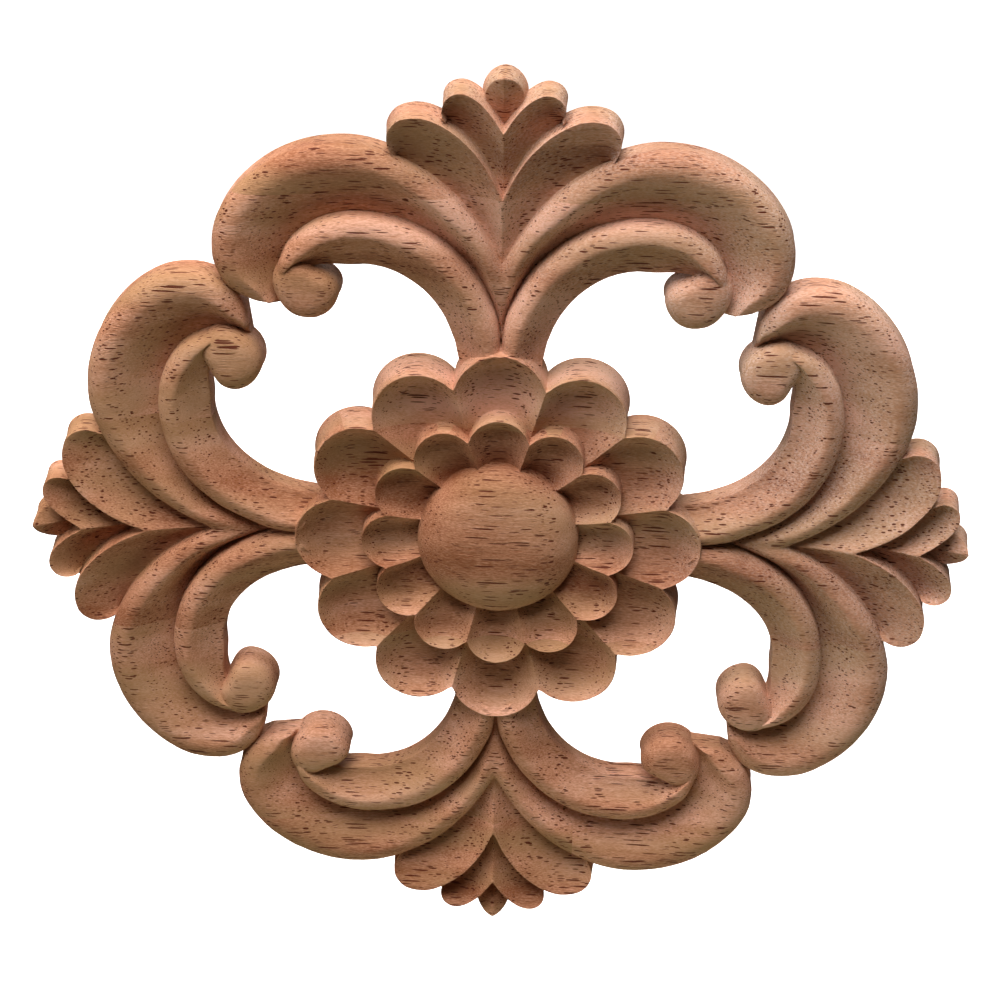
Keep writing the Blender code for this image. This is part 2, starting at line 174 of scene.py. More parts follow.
def petalRing(name, rings):
    # the rim r(angle) is an arc of radius R round the point c on the petal's own axis; with
    # share = distance to c over R, the bowl is w = floor + (rim - floor) * share ** hollow, and
    # inward of c the share runs from the axis to the ridge that stands between two petals
    ring = rings[name]
    steps = rings["count"] * rings["stepsPerPetal"]
    angle = np.arange(steps) * 2 * math.pi / steps
    half = math.pi / rings["count"]
    off = np.abs((angle + half) % (2 * half) - half)
    rise = ring["tip"] - ring["notch"] * math.cos(half)
    arc = ((ring["notch"] * math.sin(half)) ** 2 + rise ** 2) / (2 * rise)
    centre = ring["tip"] - arc
    rim = centre * np.cos(off) + np.sqrt(arc ** 2 - (centre * np.sin(off)) ** 2)
    share = 1.0 - np.linspace(0.0, 1.0, rings["stepsAcross"])[None, :] ** rings["crowding"]
    radius = ring["end"] + (rim[:, None] - ring["end"]) * share
    along = radius * np.cos(off)[:, None]
    aside = radius * np.sin(off)[:, None]
    inward = np.clip((centre - along) / (centre - ring["end"]), 0.0, 1.0)
    ridge = centre * math.tan(half) / arc * (1 - (1 - rings["arris"]) * inward)
    bowl = np.hypot(along - centre, aside) / arc
    trough = aside / (along * math.tan(half)) * ridge
    cup = np.where(along > centre, bowl, trough)
    innerFloor, outerFloor = ring["floor"]
    floor = outerFloor + (innerFloor - outerFloor) * inward ** rings["sink"]
    height = floor + (ring["rim"] - floor) * np.clip(cup, 0.0, 1.0) ** rings["hollow"]
    fromRim = np.clip((rim[:, None] - radius) / rings["lip"], 0.0, 1.0)
    height = height - rings["lip"] * (1 - np.sqrt(1 - (1 - fromRim) ** 2))
    radius = np.hstack([radius, np.zeros((steps, 1))])
    height = np.hstack([height, np.full((steps, 1), innerFloor)])
    plan = np.dstack([radius * np.cos(angle)[:, None], radius * np.sin(angle)[:, None]])
    plan, height = withWall(plan, height, ring["depth"], ring["flare"], rings["wallSteps"])
    return gridSolid(name, plan, height, ring["depth"], ring=True)


domeShape = {
    "radius": 17.1, "side": 6.2, "top": 12.72,
    "flatness": 3.4,              # 2 is a half ellipse, more is flatter on top
    "flare": 0.1, "depth": 1.8,
    "around": 128, "rows": 30, "wallSteps": 5,
    "crowding": 0.8,              # 1 sets the rows as sines, less moves them outward
}


def dome(shape):
    # upright side, then w = side + (top - side) * sqrt(1 - share ** flatness): flat on top, round
    # at the rim; the rows lie at share = sin(u) ** crowding
    angle = np.arange(shape["around"]) * 2 * math.pi / shape["around"]
    share = np.sin(np.linspace(math.pi / 2, 0.0, shape["rows"])) ** shape["crowding"]
    level = shape["side"] + (shape["top"] - shape["side"]) * np.sqrt(1 - share ** shape["flatness"])
    plan = shape["radius"] * np.dstack([np.cos(angle)[:, None] * share, np.sin(angle)[:, None] * share])
    height = np.repeat(level[None, :], shape["around"], axis=0)
    plan, height = withWall(plan, height, shape["depth"], shape["flare"], shape["wallSteps"])
    return gridSolid("dome", plan, height, shape["depth"], ring=True)


# Carving: scrolls

outerScroll = {
    "outline": ((61.1, 0.0), (66.0, 2.7), (72.0, 6.9), (77.0, 11.8), (81.0, 17.6), (84.0, 24.2),
                (85.2, 31.0), (84.2, 39.0), (81.0, 46.4), (75.5, 52.9), (69.0, 57.0), (62.8, 58.0),
                (57.9, 56.9), (54.0, 54.2), (51.9, 50.4)),
    "edge": 5.8, "valley": 3.2, "hollow": 0.6,
    "crest": (7.1, 8.0, 8.6),     # on the middle line, where the V opens, further out
    "roll": (1.3, 2.2, 4.2),      # width from the outline to the crest at the same three places
    "places": (0.0, 0.08, 0.24),  # shares of the length
    "endDrop": 1.6, "endShare": 0.1,    # the end is lower, over this share of the length
    "beyondV": (51.0, -7.2),      # the outline would run on through here, past the middle
    "nearV": 0.22, "roundFall": 2.2,    # share of the length with the fall of the V, and its power
    "flare": 0.2, "depth": 1.7,
    "spacing": 1.12, "rollSteps": 9, "coveSteps": 18, "wallSteps": 5,
}
innerScroll = {
    "outline": ((42.3, 0.15), (46.0, 0.3), (50.3, 1.1), (56.0, 3.7), (61.0, 7.3), (65.6, 12.6),
                (69.1, 19.4), (70.7, 28.0), (69.4, 35.8), (65.4, 41.9), (60.0, 44.9), (55.5, 45.2),
                (51.0, 43.4)),
    "opening": ((37.2, 8.2), (41.5, 8.9), (45.0, 9.8), (50.0, 12.0), (54.8, 15.8), (58.2, 20.6),
                (59.9, 26.0), (59.9, 30.5), (60.1, 35.5), (58.9, 40.3), (56.2, 42.9), (53.4, 43.4),
                (50.8, 42.6)),
    "edge": (6.8, 4.5, 6.4),      # height of the outer edge: at the rosette, in the valley, further out
    "crest": (9.0, 5.6), "sinksFrom": 0.83, "openingEdge": (5.0, 5.8), "edgeDrop": 2.0,
    "roll": (2.4, 4.0, 3.8),      # width from the outer edge to the crest at the same three places
    "places": (0.0, 0.14, 0.36),  # shares of the length
    "hollow": (1.5, 4.0),
    "deepens": (0.45, 0.75),      # shares where the hollow and the opening's edge change
    "edgeDropShare": 0.2,         # the outer edge drops over this last share
    "merge": 0.92, "mergePower": 1.5,   # from this share the cove fills up to the crest
    "flare": 0.2, "depth": 1.6,
    "backFlare": (0.02, 0.12),    # how far the wall of the opening leans out, below the edge and last
    "spacing": 1.12, "rollSteps": 10, "coveSteps": 14, "wallSteps": 5, "backSteps": 6,
}


def distanceTo(points, curve):
    # distance of every grid point to the nearest point of a curve, in blocks to save memory
    step, blocks = 0.2, 8
    dense = smoothCurve(curve, spacing=step)
    flat = points.reshape(-1, 2)
    nearest = np.concatenate([
        np.sqrt(((block[:, None, :] - dense[None, :, :]) ** 2).sum(-1)).min(1)
        for block in np.array_split(flat, blocks)])
    return nearest.reshape(points.shape[:-1])


def rollAndCove(outer, inner, edge, crest, ends, rollWidth, hollow, rollSteps, coveSteps):
    # from the outer curve, w = edge + (crest - edge) * sin(u) over a quarter round; the rest of the
    # way to the inner curve falls to the end height as hollowFall does
    across = inner - outer
    length = np.linalg.norm(across, axis=1)[:, None]
    tangent = np.gradient(outer, axis=0)
    tangent /= np.linalg.norm(tangent, axis=1)[:, None]
    unit = across / length
    square = np.abs(unit[:, :1] * tangent[:, 1:] - unit[:, 1:] * tangent[:, :1])
    # square to the curve the roll keeps its width, but it takes no more than a share of the row
    slantest, mostOfRow = 0.2, 0.55
    roll = np.minimum(rollWidth[:, None] / np.maximum(square, slantest), mostOfRow * length)
    turn = np.linspace(0.0, math.pi / 2, rollSteps)[None, :]
    fall = np.linspace(0.0, 1.0, coveSteps + 1)[None, 1:]
    distance = np.hstack([roll * (1 - np.cos(turn)), roll + (length - roll) * fall])
    height = np.hstack([edge[:, None] + (crest[:, None] - edge[:, None]) * np.sin(turn),
                        ends[:, None] + (crest - ends)[:, None] * hollowFall(fall, hollow)])
    return outer[:, None, :] + unit[:, None, :] * distance[..., None], height


def hollowFall(share, hollow):
    # from 1 to 0, the mean of a half cosine and of (1 - share) ** hollow
    return 0.5 * (0.5 + 0.5 * np.cos(np.pi * share)) + 0.5 * (1 - share) ** hollow


def underLap(plan, height, width=2.0):
    # carries each row on at its last height, below the next layer
    ahead = plan[:, -1] - plan[:, 0]
    ahead /= np.linalg.norm(ahead, axis=1)[:, None]
    hidden = plan[:, -1] + ahead * width
    plan = np.concatenate([plan, hidden[:, None]], axis=1)
    return plan, np.concatenate([height, height[:, -1:]], axis=1)


def outerScrolls(shape, inner):
    # the roll and cove of rollAndCove between the outline and the inner scroll's outline; crest and
    # edge drop towards the end along half a cosine
    outline = smoothCurve(shape["outline"], spacing=shape["spacing"])
    count = len(outline)
    ridge = smoothCurve(inner["outline"][1:], count=count)
    ridge[0, 1] = 0.0
    share = np.linspace(0.0, 1.0, count)
    drop = shape["endDrop"] * easeDown(1 - share, shape["endShare"])
    crest = np.interp(share, shape["places"], shape["crest"]) - drop
    roll = np.interp(share, shape["places"], shape["roll"])
    valley = np.full(count, shape["valley"])
    plan, height = rollAndCove(outline, ridge, shape["edge"] - drop, crest, valley, roll, shape["hollow"],
                               shape["rollSteps"], shape["coveSteps"])
    # near the middle line rows run aslant, so heights there come from the distances to both curves:
    # a quarter round over the roll, then w = valley + (crest - valley) * sqrt(1 - fall ** roundFall)
    fromOutline = distanceTo(plan, (shape["beyondV"], *shape["outline"][:4]))
    fromRidge = distanceTo(plan, inner["outline"][1:6])
    roll, crest = roll[:, None], crest[:, None]
    u = np.clip(fromOutline / roll, 0.0, 1.0)
    fall = np.clip((fromOutline - roll) / np.maximum(fromOutline + fromRidge - roll, 0.01), 0.0, 1.0)
    near = np.where(u < 1, shape["edge"] + (crest - shape["edge"]) * np.sqrt(1 - (1 - u) ** 2),
                    shape["valley"] + (crest - shape["valley"]) * np.sqrt(1 - fall ** shape["roundFall"]))
    weight = easeDown(share, shape["nearV"])[:, None]
    height = height + (near - height) * weight
    plan, height = mirrored(*underLap(plan, height))
    plan, height = withWall(plan, height, shape["depth"], shape["flare"], shape["wallSteps"])
    return gridSolid("outerScrolls", plan, height, shape["depth"])


def innerScrollSide(shape, side):
    # the roll and cove of rollAndCove between the outline and the opening; towards the knob the crest
    # sinks along half a cosine, and the opening's edge rises to it as t ** mergePower
    outline = smoothCurve(shape["outline"], spacing=shape["spacing"])
    count = len(outline)
    opening = smoothCurve(shape["opening"], count=count)
    share = np.linspace(0.0, 1.0, count)
    merge = np.clip((share - shape["merge"]) / (1 - shape["merge"]), 0.0, 1.0) ** shape["mergePower"]
    crest = shape["crest"][1] + (shape["crest"][0] - shape["crest"][1]) * easeDown(
        np.maximum(share - shape["sinksFrom"], 0.0), 1 - shape["sinksFrom"])
    level = np.interp(share, shape["deepens"], shape["openingEdge"])
    ends = level + (crest - level) * merge
    dropFrom = 1 - shape["edgeDropShare"]
    edge = np.interp(share, shape["places"], shape["edge"]) - shape["edgeDrop"] * (1 - easeDown(
        np.maximum(share - dropFrom, 0.0), shape["edgeDropShare"]))
    roll = np.interp(share, shape["places"], shape["roll"])
    hollow = np.interp(share, shape["deepens"], shape["hollow"])[:, None]
    plan, height = rollAndCove(outline, opening, edge, crest, ends, roll, hollow, shape["rollSteps"],
                               shape["coveSteps"])
    plan, height = withWall(plan, height, shape["depth"], shape["flare"], shape["wallSteps"])
    bottom = np.full(count, -shape["depth"])
    wallBack = np.linspace(height[:, -1], bottom, shape["backSteps"], axis=1)[:, 1:-1]
    outward = plan[:, -1] - plan[:, -2]
    outward /= np.linalg.norm(outward, axis=1)[:, None]
    steps = np.linspace(*shape["backFlare"], wallBack.shape[1])[None, :, None]
    plan = np.concatenate([plan, plan[:, -1:] + outward[:, None, :] * steps], axis=1)
    height = np.concatenate([height, wallBack], axis=1)
    plan[..., 1] *= side
    return gridSolid("innerScroll", plan, height, shape["depth"])


knobShape = {
    "centre": (55.1, 38.9), "radius": 6.4,
    "recess": 1.7, "recessAngle": 116.0,    # groove towards the scroll
    "bulge": 1.25, "bulgeAngle": 36.0,      # where it grows out of the scroll's end
    "narrowness": 1.25,           # of the groove and the bulge, round the knob
    "edge": 5.6, "top": 9.0, "flatness": 4, "flare": 0.1, "depth": 1.5,
    "around": 60, "rows": 12, "wallSteps": 7,
}


def knob(shape, side):
    # flat-topped button: w = edge + (top - edge) * sqrt(1 - share ** flatness); its radius is less
    # or more by depth * cos(narrowness * turn) ** 2 round the middle of the groove and of the bulge
    angle = np.arange(shape["around"]) * 2 * math.pi / shape["around"]
    radius = np.full(shape["around"], shape["radius"])
    for depth, middle in ((-shape["recess"], shape["recessAngle"]), (shape["bulge"], shape["bulgeAngle"])):
        turn = (angle - math.radians(middle) + math.pi) % (2 * math.pi) - math.pi
        radius += depth * np.cos(np.clip(shape["narrowness"] * turn, -math.pi / 2, math.pi / 2)) ** 2
    share = np.sin(np.linspace(math.pi / 2, 0.0, shape["rows"]))[None, :]
    height = shape["edge"] + (shape["top"] - shape["edge"]) * np.sqrt(1 - share ** shape["flatness"])
    plan = np.dstack([shape["centre"][0] + (radius * np.sin(angle))[:, None] * share,
                      side * (shape["centre"][1] + (radius * np.cos(angle))[:, None] * share)])
    height = np.repeat(height, shape["around"], axis=0)
    plan, height = withWall(plan, height, shape["depth"], shape["flare"], shape["wallSteps"])
    return gridSolid("knob", plan, height, shape["depth"], ring=True)


# Carving: leaf lobes

largeLobe = {
    "rim": ((75.0, 0.0), (79.6, 2.1), (84.4, 5.2), (88.3, 9.2), (90.8, 13.6), (91.4, 17.4), (90.4, 20.8),
            (88.0, 22.6), (85.4, 22.7), (82.8, 21.6)),
    "rimHeights": (8.7, 9.4, 7.0),      # on the middle line, half way and at the end
    "foot": 4.2, "footShare": 0.33,     # the foot lies along this first share of the next layer
    "keel": 5.6, "keelReach": 0.22,     # height of the foot on the middle line, and its reach
    "hollow": 1.5, "flare": 0.9, "depth": 1.4,
}
smallLobe = {
    "rim": ((88.5, 0.0), (91.7, 2.1), (94.6, 4.8), (96.1, 7.7), (95.7, 10.2), (94.2, 11.6), (92.2, 11.9),
            (90.0, 11.2)),
    "rimHeights": (9.0, 8.6, 8.3),
    "foot": 3.9, "footShare": 0.58,
    "keel": 4.6, "keelReach": 0.2,
    "hollow": 1.5, "flare": 0.9, "depth": 1.3,
}
lobeGrid = {"spacing": 0.72, "steps": 18, "wallSteps": 7}
tipLeaf = {
    "rim": ((99.1, 0.0), (98.85, 1.1), (98.0, 2.4), (96.5, 3.45), (94.8, 3.8), (93.0, 3.3), (90.5, 2.0),
            (88.0, 0.9)),
    "pole": 94.5,                 # where the rows meet
    "rimHeight": 6.0, "foot": 2.4, "footAt": 87.5, "fall": 1.15,
    "ridgeRise": 1.8, "ridgeHalfWidth": 3.4, "ridgeReach": 1.3,
    "flare": 0.95, "depth": 1.2,
    "spacing": 0.5, "steps": 20, "wallSteps": 9,
}


def lobePair(name, shape, nextLine, grid):
    # w = foot + (rim - foot) * (1 - t) ** hollow along straight rows from the rim to the foot; the
    # rim's own height swells between its ends as half a sine
    rim = smoothCurve(shape["rim"], spacing=grid["spacing"])
    count = len(rim)
    foot = firstPart(nextLine, shape["footShare"], count)
    share = np.linspace(0.0, 1.0, count)
    first, middle, last = shape["rimHeights"]
    top = np.where(share < 0.5, first + (middle - first) * np.sin(np.pi * share),
                   last + (middle - last) * np.sin(np.pi * share))
    low = shape["foot"] + (shape["keel"] - shape["foot"]) * np.clip(1 - share / shape["keelReach"], 0, 1)
    t = np.linspace(0.0, 1.0, grid["steps"])[None, :]
    plan = rim[:, None, :] + (foot - rim)[:, None, :] * t[..., None]
    height = low[:, None] + (top - low)[:, None] * (1 - t) ** shape["hollow"]
    plan, height = mirrored(*underLap(plan, height))
    plan, height = withWall(plan, height, shape["depth"], shape["flare"], grid["wallSteps"])
    return gridSolid(name, plan, height, shape["depth"])


def tipLeafSolid(shape):
    # rows from a loop round the rim to one point of the middle line; the face falls towards the foot
    # as along ** fall, and a ridge slopes down evenly on both sides of the middle line
    side = smoothCurve(shape["rim"], spacing=shape["spacing"])
    loop = np.vstack([side, (side * (1, -1))[:0:-1]])
    pole = np.array([shape["pole"], 0.0])
    t = np.linspace(0.0, 1.0, shape["steps"])[None, :]
    plan = loop[:, None, :] + (pole - loop)[:, None, :] * t[..., None]
    along = np.clip((plan[..., 0] - shape["footAt"]) / (side[0, 0] - shape["footAt"]), 0.0, 1.0)
    height = shape["foot"] + (shape["rimHeight"] - shape["foot"]) * along ** shape["fall"]
    rise = shape["ridgeRise"] * easeDown(1 - along, shape["ridgeReach"])
    height = height + rise * np.clip(1 - np.abs(plan[..., 1]) / shape["ridgeHalfWidth"], 0.0, 1.0)
    plan, height = withWall(plan, height, shape["depth"], shape["flare"], shape["wallSteps"])
    return gridSolid("tipLeaf", plan, height, shape["depth"], ring=True)


# Carving: one piece

def turnedCopies(solid):
    # the solid at all four sides of the piece, by quarter turns round Y
    copies = []
    for quarter in range(4):
        mesh = solid.data.copy()
        mesh.transform(Matrix.Rotation(-quarter * math.pi / 2, 4, "Y"))
        copies.append(bpy.data.objects.new(f"{solid.name}{quarter}", mesh))
    return copies


def valueNoise(points, cell, seed):
    # smooth noise from -1 to 1: hashed corner values, blended by 3 t ** 2 - 2 t ** 3
    p = points / cell
    base = np.floor(p).astype(np.int64)
    t = p - base
    t = t * t * (3 - 2 * t)
    total = np.zeros(len(points))
    for corner in range(8):
        offset = np.array([corner & 1, corner >> 1 & 1, corner >> 2 & 1])
        q = base + offset
        hashed = (q[:, 0] * 73856093) ^ (q[:, 1] * 19349663) ^ (q[:, 2] * 83492791) ^ (seed * 2654435761)
        hashed = ((hashed ^ (hashed >> 13)) * 1274126177) & 0xFFFFFF
        weight = np.prod(np.where(offset == 1, t, 1 - t), axis=1)
        total += weight * (hashed / 0x7FFFFF - 1.0)
    return total


handWork = {
    "sharpAngle": 28.0,           # edges sharper than this are eased by sanding
    "backEdge": 0.3,              # mm above the back that sanding leaves alone
    "frontFrom": 0.05,            # mm above the back where the cutter's unevenness starts
    "unevenness": ((9.0, 0.16), (2.2, 0.05), (0.7, 0.03)),    # cell and depth in mm: slow, ripple, grain
    "takenOff": 0.05,             # mm that the front loses in all
    "halfWidth": 99.98,           # mm; no point lies further out along X or Z
    "creaseAngle": 48.0,          # steeper edges are shaded sharp
}


def sandAndWaver(piece, work):
    # corners at sharp edges move half way to the mean of their neighbours; then every point of the
    # front moves along its normal by the sum of depth * valueNoise, less what is taken off
    mesh = piece.data
    build = bmesh.new()
    build.from_mesh(mesh)
    sharp = set()
    limit = math.radians(work["sharpAngle"])
    for edge in build.edges:
        if len(edge.link_faces) == 2 and edge.calc_face_angle(0.0) > limit:
            sharp.update(edge.verts)
    eased = [v for v in sharp if v.co.y < -work["backEdge"] * mm]
    bmesh.ops.smooth_vert(build, verts=eased, factor=0.5, use_axis_x=True, use_axis_y=True,
                          use_axis_z=True)
    build.to_mesh(mesh)
    build.free()
    count = len(mesh.vertices)
    points = np.empty(count * 3, dtype=np.float32)
    normals = np.empty(count * 3, dtype=np.float32)
    mesh.vertices.foreach_get("co", points)
    mesh.vertex_normals.foreach_get("vector", normals)
    points = points.reshape(-1, 3).astype(float) / mm
    normals = normals.reshape(-1, 3).astype(float)
    push = sum(depth * valueNoise(points, cell, seed)
               for seed, (cell, depth) in enumerate(work["unevenness"], 1))
    onFront = points[:, 1] < -work["frontFrom"]
    points[onFront] += (normals * (push - work["takenOff"])[:, None])[onFront]
    points[:, 1] = np.minimum(points[:, 1], 0.0)
    points[:, (0, 2)] = np.clip(points[:, (0, 2)], -work["halfWidth"], work["halfWidth"])
    mesh.vertices.foreach_set("co", (points * mm).astype(np.float32).ravel())
    mesh.update()


def carveApplique():
    # the rosette and the layers of the arm at all four sides, made one, with the back cut flat
    solids = [petalRing("innerPetals", petalRings), dome(domeShape)]
    arm = [outerScrolls(outerScroll, innerScroll), tipLeafSolid(tipLeaf),
           lobePair("largeLobes", largeLobe, outerScroll["outline"], lobeGrid),
           lobePair("smallLobes", smallLobe, largeLobe["rim"], lobeGrid)]
    for side in (1, -1):
        arm += [innerScrollSide(innerScroll, side), knob(knobShape, side)]
    for solid in arm:
        solids += turnedCopies(solid)
    shavings = bpy.data.collections.new("shavings")
    bpy.context.scene.collection.children.link(shavings)
    for solid in solids:
        shavings.objects.link(solid)
    cutWidth, cutDepth = 300 * mm, 10 * mm
    bpy.ops.mesh.primitive_cube_add(size=1.0, location=(0, cutDepth / 2, 0),
                                    scale=(cutWidth, cutDepth, cutWidth))
    backCut = bpy.context.object

    piece = petalRing("outerPetals", petalRings)
    piece.name = "carvedApplique"
    bpy.context.scene.collection.objects.link(piece)
    join = piece.modifiers.new("join", "BOOLEAN")
    join.operation = "UNION"
    join.operand_type = "COLLECTION"
    join.collection = shavings
    join.solver = "MANIFOLD"
    back = piece.modifiers.new("flatBack", "BOOLEAN")
    back.operation = "DIFFERENCE"
    back.object = backCut
    back.solver = "MANIFOLD"
    bpy.context.view_layer.update()
    carved = bpy.data.meshes.new_from_object(piece.evaluated_get(bpy.context.evaluated_depsgraph_get()))
    piece.modifiers.clear()
    piece.data = carved
    for item in [*solids, *arm, backCut]:
        bpy.data.objects.remove(item, do_unlink=True)
    bpy.data.collections.remove(shavings)
    sandAndWaver(piece, handWork)
    carved.shade_smooth()
    carved.set_sharp_from_angle(angle=math.radians(handWork["creaseAngle"]))
    return piece


# Finish

def linear(hexColour):
    # sRGB hex to the linear values that shaders take
    parts = [int(hexColour[i:i + 2], 16) / 255 for i in (1, 3, 5)]
    return (*(c / 12.92 if c <= 0.04045 else ((c + 0.055) / 1.055) ** 2.4 for c in parts), 1.0)


def addNode(tree, kind, *inputs, sockets=None, **settings):
    # a node with its settings; inputs go to its first sockets in turn, and sockets to those that
    # they name or number; each is a constant or another node's output
    node = tree.nodes.new("ShaderNode" + kind)
    for key, value in settings.items():
        setattr(node, key, value)
    for key, value in [*enumerate(inputs), *(sockets or {}).items()]:
        if isinstance(value, bpy.types.NodeSocket):
            tree.links.new(value, node.inputs[key])
        else:
            node.inputs[key].default_value = value
    return node


# Rubberwood, cut by a router, finished with chisels and sanded, with no coat on it: pinkish tan,
# matt, with open vessels as dark dashes along the grain (X) and as dots on end grain. The board is
# glued up from strips, so tone and grain change a little at its joints.
rubberwood = {
    "dark": "#975F40", "middle": "#C38D6D", "pale": "#E2B29A",
    "tones": (0.28, 0.5, 0.72),       # of the dark, the middle and the pale wood
    "olive": "#AC8B62", "vessel": "#5A2414", "fuzz": "#EAD8CC",
    "ior": 1.45, "roughness": 0.7, "sheen": 0.25,
    "patterns": {                     # mm along and across the grain, detail, its roughness
        "bands": (90.0, 11.0, 3.0, 0.55),      # growth bands
        "fibres": (6.0, 0.30, 2.0, 0.6),
        "specks": (0.9, 0.22, 1.0, 0.5),       # rays, drawn coarser than they are so that they show
        "patches": (45.0, 9.0, 0.0, 0.5),      # more olive than pink
        "bend": (12.0, 5.0, 0.0, 0.5),         # sideways waver of the vessels
        "groups": (18.0, 5.0, 0.0, 0.5),       # of vessels
    },
    "fibreTone": 0.34, "speckTone": 0.44,      # how much they change the tone, from end to end
    "oliveFrom": (0.42, 0.7), "oliveMost": 0.55,
    "strip": 49.3, "stripMiddle": 1.0,    # height of the glued strips, middle of the central one
    "fingers": ((13.1, 19.6, 69.8, 74.9), (18.0, 66.0, -83.0, -73.0)),    # joints in X and Z
    "fingerPieces": 2.0,              # a finger is wood from this many strips further
    "nextPiece": (137.0, 31.0),       # mm in X and Y from one strip's grain to the next one's
    "stripTone": -0.04, "fingerTone": 0.06,
    "slopes": (0.05, 0.7), "slopeShares": (0.3, 1.0),    # of the normal's X, and what they count as
    "vessels": (                      # mm along, mm across, share that is open, half size, strength
        (12.0, 0.68, 0.98, 0.33, 0.95),
        (6.0, 0.50, 0.84, 0.32, 0.8),
    ),
    "vesselBend": 0.8, "vesselSize": 1.1, "lessOnSlopes": 0.3, "vesselRim": 0.04,
    "groupFrom": (0.35, 0.62), "groupChance": (0.75, 1.15),
    "tufts": (0.769, 0.417, 0.345),   # size of the torn fibres in mm
    "tuftFrom": (0.4, 0.68), "tuftShares": (0.12, 0.6),
    "fuzzFrom": (5.0, 75.0), "fuzzRise": 0.6,     # mm of X + 0.6 Z over which the fuzz grows
    "bumpStrength": 0.6, "bumpDepth": 0.25,       # depth in mm
    "bumpWeights": (-1.0, 0.6, 0.6),  # of vessels, specks and fibres
}


